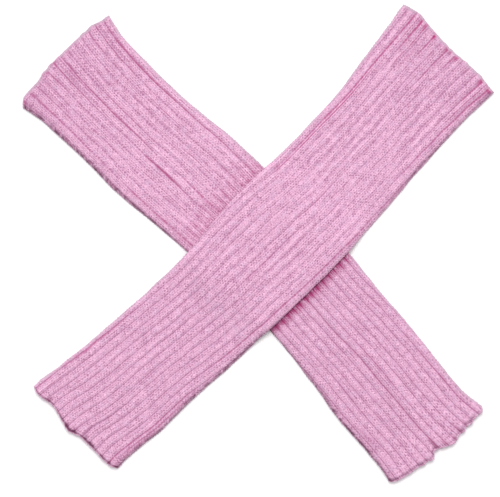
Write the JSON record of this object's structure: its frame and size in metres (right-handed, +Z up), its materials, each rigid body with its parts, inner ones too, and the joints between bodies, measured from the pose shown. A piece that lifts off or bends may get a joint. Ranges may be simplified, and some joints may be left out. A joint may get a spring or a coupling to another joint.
{
  "type": "pair of leg warmers",
  "caption": "Pair of flat-laid rib-knit leg warmers, open tubes crossed one over the other, with softly flared ends.",
  "frame": {"origin": "on the surface the pair lies on, under the middle of its bounding box", "axes": "+Z up from the surface, +X to the right and +Y away from a viewer who looks straight down on the pair"},
  "size_m": [0.3519, 0.3563, 0.0107],
  "materials": {
    "rib_knit": "matt brushed acrylic yarn in a two-by-two rib, pale pink with deeper pink gutters"
  },
  "bodies": {
    "root": {"leg_warmer_under": "rib_knit", "leg_warmer_over": "rib_knit"}
  },
  "joints": []
}
